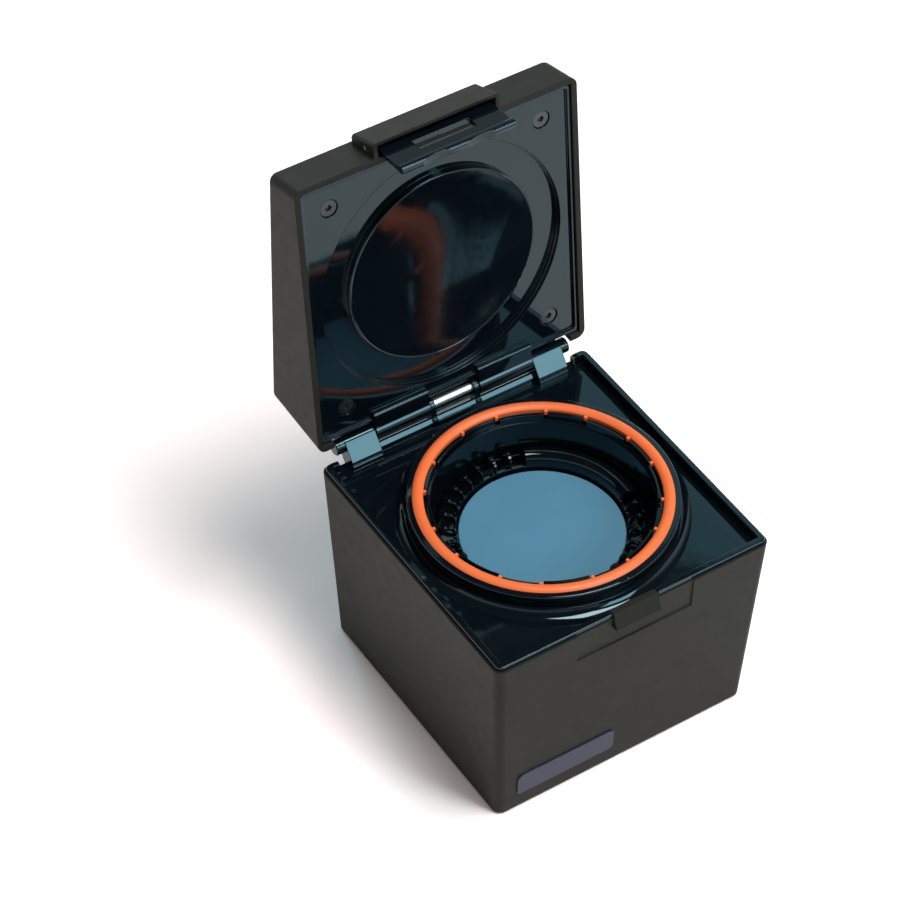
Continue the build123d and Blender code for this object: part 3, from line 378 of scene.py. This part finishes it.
# ---------------------------------------------------------------- pieces
class Growth(Wiring):
    """Geometry Nodes tree of one repeated piece, with named inputs for its sizes."""

    def __init__(self, name: str) -> None:
        """Starts a tree with an output."""
        super().__init__(bpy.data.node_groups.new(name, "GeometryNodeTree"))
        self.tree.interface.new_socket("Geometry", in_out="OUTPUT", socket_type="NodeSocketGeometry")
        self.source = self.tree.nodes.new("NodeGroupInput")
        self.values: dict[str, float] = {}

    def size(self, name: str, value: float) -> Socket:
        """Adds a named input with its value, and gives its output inside the tree."""
        socket = self.tree.interface.new_socket(name, in_out="INPUT", socket_type="NodeSocketFloat")
        self.values[socket.identifier] = value
        return self.source.outputs[name]

    def shape(self, kind: str, values: dict[str | int, object], **settings: object) -> Socket:
        """Adds a node that makes or changes a shape, and gives that shape."""
        return self.add(kind, values, **settings).outputs[0]

    def lifted(self, shape: Socket, rise: Socket) -> Socket:
        """Moves a shape along its own axis."""
        values = {"Geometry": shape, "Translation": self.upward(rise)}
        return self.shape("GeometryNodeTransform", values)

    def upward(self, rise: Socket) -> Socket:
        """Makes a vector along the axis."""
        return self.add("ShaderNodeCombineXYZ", {"Z": rise}).outputs["Vector"]

    def grow(self, shape: Socket, finish: Finish) -> bpy.types.Mesh:
        """Ends the tree, runs it once with its sizes and gives the plain mesh.

        Args:
            shape: the tree's last geometry.
            finish: finish that the tree sets on it.

        Returns:
            The realised mesh.
        """
        real = self.shape("GeometryNodeRealizeInstances", {"Geometry": shape})
        dressed = self.shape("GeometryNodeSetMaterial", {0: real, "Material": finish.build()})
        self.add("NodeGroupOutput", {0: dressed})
        carrier = bpy.data.objects.new("carrier", bpy.data.meshes.new("carrier"))
        modifier = carrier.modifiers.new("growth", "NODES")
        modifier.node_group = self.tree
        for identifier, value in self.values.items():
            modifier[identifier] = value
        bpy.context.scene.collection.objects.link(carrier)
        graph = bpy.context.evaluated_depsgraph_get()
        mesh = bpy.data.meshes.new_from_object(carrier.evaluated_get(graph), depsgraph=graph)
        bpy.data.objects.remove(carrier)
        return mesh


def piece_from(mesh: bpy.types.Mesh, name: str, finish: Finish, body: Body) -> bpy.types.Object:
    """Puts a finished mesh on show.

    Args:
        mesh: the mesh, with its place in its vertices and its shading set.
        name: the piece's name.
        finish: its finish.
        body: the body it rides on.

    Returns:
        The new object, at the origin.
    """
    mesh.name = name
    mesh.materials.clear()
    mesh.materials.append(finish.build())
    piece = bpy.data.objects.new(name, mesh)
    bpy.context.scene.collection.objects.link(piece)
    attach(piece, body.value)
    LOG.info("%s: %d faces, %s on %s", name, len(mesh.polygons), finish.name, body.value)
    return piece


# ---------------------------------------------------------------- sub-assemblies
@dataclass
class SubAssembly(ABC):
    """CAD nodes that belong together, each with its finish."""

    nodes: Nodes

    @abstractmethod
    def finishes(self) -> dict[str, Finish]:
        """Says which finish each node takes."""

    def dress(self) -> None:
        """Gives each node its finish, then builds the finer pieces that stand for some of them."""
        for node, finish in self.finishes().items():
            self.nodes[node].material_slots[0].material = finish.build()
            LOG.info("%s: %s", node, finish.name)
        self.build_pieces()

    def build_pieces(self) -> None:
        """Builds nothing more, unless a sub-assembly says otherwise."""


@dataclass
class Housing(SubAssembly):
    """Base with its glossy deck, hinge, name plate and underside."""

    shell: Finish = MATTE
    deck: Finish = GLOSS

    def finishes(self) -> dict[str, Finish]:
        """Says which finish each node takes."""
        return {
            "base_shell": self.shell,
            "bottom_cover": self.shell,
            "non_slip_pad": FOOT,
            "base_screws": SCREW,
            "name_plate": PLATE,
            "top_deck": self.deck,
            "latch_strike": self.shell,
            "power_inlet": PUMP,
            "hinge_pin": STEEL,
            "hinge_caps": self.deck,
        }


@dataclass
class Chamber(SubAssembly):
    """Sealed drying chamber, with its collar, seal, snap ring, vents and mat."""

    collar: Finish = GLOSS
    wall: Finish = SATIN

    def finishes(self) -> dict[str, Finish]:
        """Says which finish each node takes."""
        return {
            "chamber_collar": self.collar,
            "gasket_ring": SEAL,
            "snap_ring": self.wall,
            "drying_cup": self.wall,
            "vent_ring": self.wall,
            "platform_mat": SLATE,
        }


@dataclass
class Works(SubAssembly):
    """Heater, sensors, pump and board inside the base."""

    moulding: Finish = PUMP

    def finishes(self) -> dict[str, Finish]:
        """Says which finish each node takes."""
        return {
            "heater_plate": HEATER,
            "heater_film": FILM,
            "insulation_pad": FOAM,
            "temperature_sensor": self.moulding,
            "humidity_sensor": self.moulding,
            "pump_head": self.moulding,
            "pump_motor": self.moulding,
            "suction_hose": HOSE,
            "circuit_board": BOARD,
            "board_screws": SCREW,
        }


@dataclass
class Latch(SubAssembly):
    """Windowed flap on its pin, with its spring."""

    flap: Finish = GLOSS

    def finishes(self) -> dict[str, Finish]:
        """Says which finish each node takes."""
        return {"latch_flap": self.flap, "latch_pin": STEEL, "latch_spring": SPRING}


@dataclass
class Lid(SubAssembly):
    """Wedge-shaped lid with its glossy plate and its four screws, standing open."""

    shell: Finish = MATTE
    plate: Finish = GLOSS
    screw: Finish = SCREW
    open_angle: float = math.radians(96.0)
    crown_radius: float = 0.4 * MM
    head_radius: float = 2.8 * MM
    head_height: float = 1.1 * MM
    head_sides: int = 48
    shank_radius: float = 1.5 * MM
    shank_sides: int = 32
    socket_points: int = 6
    socket_radius: float = 1.35 * MM
    socket_waist: float = 0.95 * MM
    socket_round: float = 0.25 * MM
    socket_round_steps: int = 3
    socket_depth: float = 0.8 * MM

    def finishes(self) -> dict[str, Finish]:
        """Says which finish each node takes."""
        return {"lid_shell": self.shell, "lid_plate": self.plate, "lid_screws": self.screw}

    def opened(self) -> Matrix:
        """Gives the turn from the closed lid to the lid as it stands, about the hinge pin."""
        low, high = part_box("hinge_pin")
        centre = (low + high) / 2
        turn = Matrix.Rotation(-self.open_angle, 4, "X")
        return Matrix.Translation(centre) @ turn @ Matrix.Translation(-centre)

    def build_pieces(self) -> None:
        """Evens the plate's crown and builds the screws."""
        self.even_crown()
        self.drive_screws()

    def even_crown(self) -> None:
        """Copies the plate with one normal for the middle of the dish, where its facets meet in a point."""
        mesh = self.nodes["lid_plate"].data.copy()
        closed = self.opened().inverted()
        down = (self.opened().to_3x3() @ Vector((0.0, 0.0, -1.0))).normalized()
        normals: list[float] = []
        for corner, normal in zip(mesh.loops, mesh.corner_normals):
            place = closed @ mesh.vertices[corner.vertex_index].co
            facing = Vector(normal.vector)
            if math.hypot(place.x, place.y) < self.crown_radius:
                facing = down if facing.dot(down) > 0.0 else -down
            normals.extend(facing)
        mesh.attributes.remove(mesh.attributes["custom_normal"])
        even = mesh.attributes.new("custom_normal", "FLOAT_VECTOR", "CORNER")
        even.data.foreach_set("vector", normals)
        piece = piece_from(mesh, "lid_plate_polished", self.plate, Body.LID)
        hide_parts("lid_plate")

    def drive_screws(self) -> None:
        """Builds the four screws where the CAD has them, and turns them up with the lid."""
        closed = self.opened().inverted()
        corners = [closed @ vertex.co for vertex in self.nodes["lid_screws"].data.vertices]
        low = Vector(min(corner[axis] for corner in corners) for axis in range(3))
        high = Vector(max(corner[axis] for corner in corners) for axis in range(3))
        mesh = self.screw_heads(low, high)
        mesh.transform(self.opened())
        mesh.shade_smooth()
        mesh.set_sharp_from_angle(angle=CREASE)
        piece = piece_from(mesh, "lid_screw_heads", self.screw, Body.LID)
        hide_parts("lid_screws")

    def screw_heads(self, low: Vector, high: Vector) -> bpy.types.Mesh:
        """Makes four screws with a star socket, heads down as in the closed lid.

        Args:
            low: lowest corner of the four screws, lid closed.
            high: highest corner.

        Returns:
            The mesh of all four.
        """
        tree = Growth("lid_screws")
        height = tree.size("Head height", self.head_height)
        length = tree.size("Length", high.z - low.z)
        span_x = tree.size("Spacing X", high.x - low.x - 2 * self.head_radius)
        span_y = tree.size("Spacing Y", high.y - low.y - 2 * self.head_radius)
        screw = tree.add("GeometryNodeJoinGeometry")
        for part in (self.socket_head(tree, height), self.shank(tree, height, length)):
            tree.tree.links.new(part, screw.inputs["Geometry"])
        grid = {"Size X": span_x, "Size Y": span_y, "Vertices X": 2, "Vertices Y": 2}
        points = tree.shape("GeometryNodeMeshGrid", grid)
        values = {"Points": points, "Instance": screw.outputs["Geometry"]}
        mesh = tree.grow(tree.shape("GeometryNodeInstanceOnPoints", values), self.screw)
        middle = (low + high) / 2
        mesh.transform(Matrix.Translation((middle.x, middle.y, low.z)))
        return mesh

    def socket_head(self, tree: Growth, height: Socket) -> Socket:
        """Makes one head with its star socket.

        Args:
            tree: the screws' tree.
            height: height of the head.

        Returns:
            The head, its outer face at the origin.
        """
        radius = tree.size("Head radius", self.head_radius)
        disc = {"Vertices": self.head_sides, "Radius": radius, "Depth": height}
        head = tree.shape("GeometryNodeMeshCylinder", disc)
        head = tree.lifted(head, tree.math("DIVIDE", height, 2.0))
        star = tree.shape("GeometryNodeCurveStar", {
            "Points": self.socket_points,
            "Inner Radius": tree.size("Socket waist", self.socket_waist),
            "Outer Radius": tree.size("Socket radius", self.socket_radius),
        })
        corner = {"Curve": star, "Radius": self.socket_round, "Count": self.socket_round_steps}
        outline = tree.shape("GeometryNodeFilletCurve", corner, mode="POLY")
        depth = tree.size("Socket depth", self.socket_depth)
        path = tree.shape("GeometryNodeCurvePrimitiveLine", {
            "Start": tree.upward(tree.math("MULTIPLY", depth, -1.0)), "End": tree.upward(depth),
        })
        sweep = {"Curve": path, "Profile Curve": outline, "Fill Caps": True}
        socket = tree.shape("GeometryNodeCurveToMesh", sweep)
        cut = {"Mesh 1": head, "Mesh 2": socket}
        return tree.shape("GeometryNodeMeshBoolean", cut, operation="DIFFERENCE")

    def shank(self, tree: Growth, height: Socket, length: Socket) -> Socket:
        """Makes one shank.

        Args:
            tree: the screws' tree.
            height: height of the head that it starts from.
            length: length of the whole screw.

        Returns:
            The shank, in its place behind the head.
        """
        rod = tree.shape("GeometryNodeMeshCylinder", {
            "Vertices": self.shank_sides,
            "Radius": tree.size("Shank radius", self.shank_radius),
            "Depth": tree.math("SUBTRACT", length, height),
        })
        return tree.lifted(rod, tree.math("DIVIDE", tree.math("ADD", length, height), 2.0))


# ---------------------------------------------------------------- studio
@dataclass(frozen=True)
class Lamp:
    """One soft lamp, aimed at the object. Sizes and places in metres, power in watts."""

    name: str
    place: Colour
    size: tuple[float, float]
    power: float
    colour: Colour

    def light(self, target: Vector) -> None:
        """Hangs the lamp and aims it at the target."""
        data = bpy.data.lights.new(self.name, "AREA")
        data.shape = "RECTANGLE"
        data.size, data.size_y = self.size
        data.energy = self.power
        data.color = self.colour
        lamp = bpy.data.objects.new(self.name, data)
        lamp.location = self.place
        lamp.rotation_euler = (Vector(self.place) - target).to_track_quat("Z", "Y").to_euler()
        bpy.context.scene.collection.objects.link(lamp)


@dataclass
class Studio:
    """White table, pale surroundings, soft lamps and the photograph's camera."""

    floor_size: float = 14.0
    floor_paint: Colour = (0.88, 0.88, 0.87)
    floor_seen: Colour = (1.40, 1.20, 1.14)
    daylight: float = 0.24
    sky_glint: float = 0.06
    glint_range: tuple[float, float] = (0.30, 0.62)
    camera_place: Colour = (-438.543 * MM, -614.849 * MM, 869.335 * MM)
    camera_turn: Colour = (2.2901, -0.6724, 0.2831)
    lens: float = 142.26
    sensor_width: float = 36.0
    clip_range: tuple[float, float] = (0.05, 50.0)
    aim: Colour = (0.0, 0.0, 0.07)
    lamps: tuple[Lamp, ...] = (
        Lamp("key", (0.27, -0.38, 1.5), (0.6, 0.6), 17.5, (1.0, 1.0, 1.0)),
        Lamp("front", (0.55, -1.12, 0.95), (0.5, 0.6), 8.0, (0.58, 0.87, 1.0)),
        Lamp("window", (1.04, 0.88, 1.10), (0.72, 0.66), 1.35, (0.50, 0.87, 1.0)),
        Lamp("skylight", (0.10, 1.35, 1.00), (0.5, 0.3), 7.0, (0.50, 0.85, 1.0)),
    )

    def build(self) -> None:
        """Sets up everything round the object."""
        self.lay_floor()
        self.light_world()
        for lamp in self.lamps:
            lamp.light(Vector(self.aim))
        self.place_camera()
        bpy.context.scene.view_settings.view_transform = "Standard"

    def lay_floor(self) -> None:
        """Lays the white table, seen overexposed up to the shadow, which the warm paint keeps neutral."""
        material, shader = painted("white_table")
        paint = shader.add("ShaderNodeBsdfDiffuse", {"Color": (*self.floor_paint, 1.0)})
        bright = shader.add("ShaderNodeBsdfDiffuse", {"Color": (*self.floor_seen, 1.0)})
        path = shader.add("ShaderNodeLightPath").outputs
        seen = shader.math("MAXIMUM", path["Is Camera Ray"], path["Is Glossy Ray"])
        seen = shader.math("MAXIMUM", seen, path["Is Transmission Ray"])
        values = {"Fac": seen, 1: paint.outputs[0], 2: bright.outputs[0]}
        mix = shader.add("ShaderNodeMixShader", values)
        shader.tree.links.new(mix.outputs["Shader"], shader.output.inputs["Surface"])
        half = self.floor_size / 2
        mesh = bpy.data.meshes.new("table_top")
        corners = [(-half, -half, 0.0), (half, -half, 0.0), (half, half, 0.0), (-half, half, 0.0)]
        mesh.from_pydata(corners, [], [(0, 1, 2, 3)])
        mesh.materials.append(material)
        table = bpy.data.objects.new("table_top", mesh)
        bpy.context.scene.collection.objects.link(table)

    def light_world(self) -> None:
        """Makes the surroundings white to look at, pale as a light, and darker overhead in reflections."""
        world = bpy.data.worlds.new("surroundings")
        bpy.context.scene.world = world
        world.use_nodes = True
        sky = Shader(world.node_tree, "ShaderNodeOutputWorld")
        path = sky.add("ShaderNodeLightPath").outputs
        incoming = sky.add("ShaderNodeNewGeometry").outputs["Incoming"]
        toward = sky.add("ShaderNodeSeparateXYZ", {0: incoming}).outputs
        rise = sky.math("MULTIPLY", toward["Z"], -1.0)
        glossy = path["Is Glossy Ray"]
        mirrored = sky.between(rise, 1.0, self.sky_glint, *self.glint_range)
        glint = sky.math("MULTIPLY", glossy, mirrored)
        light = sky.math("MULTIPLY", sky.math("SUBTRACT", 1.0, glossy), self.daylight)
        clear = sky.math("MAXIMUM", path["Is Camera Ray"], path["Is Transmission Ray"])
        strength = sky.math("MAXIMUM", sky.math("MAXIMUM", clear, glint), light)
        values = {"Color": (1.0, 1.0, 1.0, 1.0), "Strength": strength}
        backdrop = sky.add("ShaderNodeBackground", values)
        sky.tree.links.new(backdrop.outputs["Background"], sky.output.inputs["Surface"])

    def place_camera(self) -> None:
        """Puts the camera where the photograph was taken from."""
        axis = Vector(self.camera_turn)
        turn = Quaternion(axis.normalized(), axis.length).to_matrix()
        data = bpy.data.cameras.new("camera")
        data.lens = self.lens
        data.sensor_width = self.sensor_width
        data.clip_start, data.clip_end = self.clip_range
        camera = bpy.data.objects.new("camera", data)
        bpy.context.scene.collection.objects.link(camera)
        right, down, ahead = turn[0], turn[1], turn[2]
        place = Matrix((right, -down, -ahead)).transposed().to_4x4()
        place.translation = Vector(self.camera_place)
        camera.matrix_world = place
        bpy.context.scene.camera = camera


def main() -> None:
    """Builds the dryer and its studio."""
    logging.basicConfig(level=logging.INFO, format="%(name)s %(message)s")
    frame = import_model()
    for kind in (Housing, Chamber, Works, Lid, Latch):
        kind(frame["nodes"]).dress()
    Studio().build()


if __name__ == "__main__":
    main()
